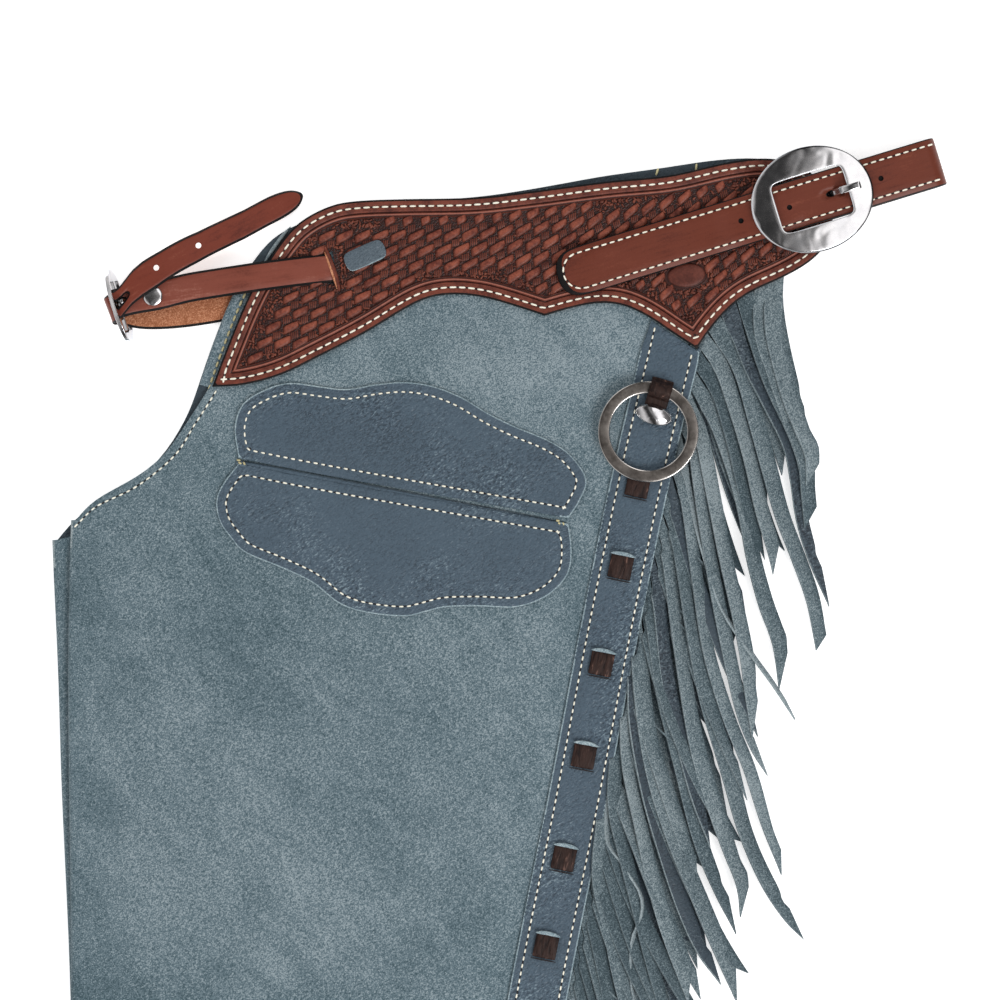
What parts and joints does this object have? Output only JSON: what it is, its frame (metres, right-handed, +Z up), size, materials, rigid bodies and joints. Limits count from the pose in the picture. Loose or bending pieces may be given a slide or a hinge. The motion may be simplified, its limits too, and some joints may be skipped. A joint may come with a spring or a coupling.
{
  "type": "leather chaps",
  "caption": "Western fringed leather chaps laid flat, one leg on the other, with tooled yokes, a buckled belt and a ring that swings in its loop.",
  "frame": {"origin": "the middle of the part's box in plan, on the table it lies on", "axes": "+X towards the back of the chaps, +Y towards the waist, +Z up from the table"},
  "size_m": [0.581, 1.0708, 0.028],
  "materials": {
    "suede": "napped suede",
    "smooth_leather": "smooth, fine grain",
    "tooled_leather": "stamped and glazed",
    "strap_leather": "satin, dark edges",
    "lace_leather": "satin",
    "thread": "waxed thread",
    "polished_metal": "polished",
    "aged_nickel": "antique, worn bright on the edges"
  },
  "bodies": {
    "chaps": {"right_yoke": "tooled_leather", "left_yoke": "tooled_leather", "right_leg": "suede", "left_leg": "suede", "upper_pocket_patch": "smooth_leather", "lower_pocket_patch": "smooth_leather", "side_band": "smooth_leather", "right_fringe": "suede", "left_fringe": "suede", "belt": "strap_leather", "belt_chape": "strap_leather", "front_strap": "strap_leather", "front_billet": "strap_leather", "yoke_tab": "smooth_leather", "ring_loop": "lace_leather", "concho": "polished_metal", "belt_buckle": "polished_metal", "belt_bar": "polished_metal", "belt_tongue": "polished_metal", "front_buckle": "polished_metal", "front_prong": "polished_metal", "strap_screw": "polished_metal", "lace_01": "lace_leather", "lace_02": "lace_leather", "lace_03": "lace_leather", "lace_04": "lace_leather", "lace_05": "lace_leather", "lace_06": "lace_leather", "lace_07": "lace_leather", "lace_08": "lace_leather", "lace_09": "lace_leather", "lace_10": "lace_leather", "lace_11": "lace_leather", "lace_12": "lace_leather", "lace_13": "lace_leather"},
    "ring": {"ring": "aged_nickel"}
  },
  "joints": [
    {"name": "ring_swing", "type": "hinge", "parent": "chaps", "child": "ring", "pos_m": [0.10412, 0.37141, 0.01792], "axis": [-0.96, 0.2801, 0], "range_deg": [0, 165]}
  ]
}
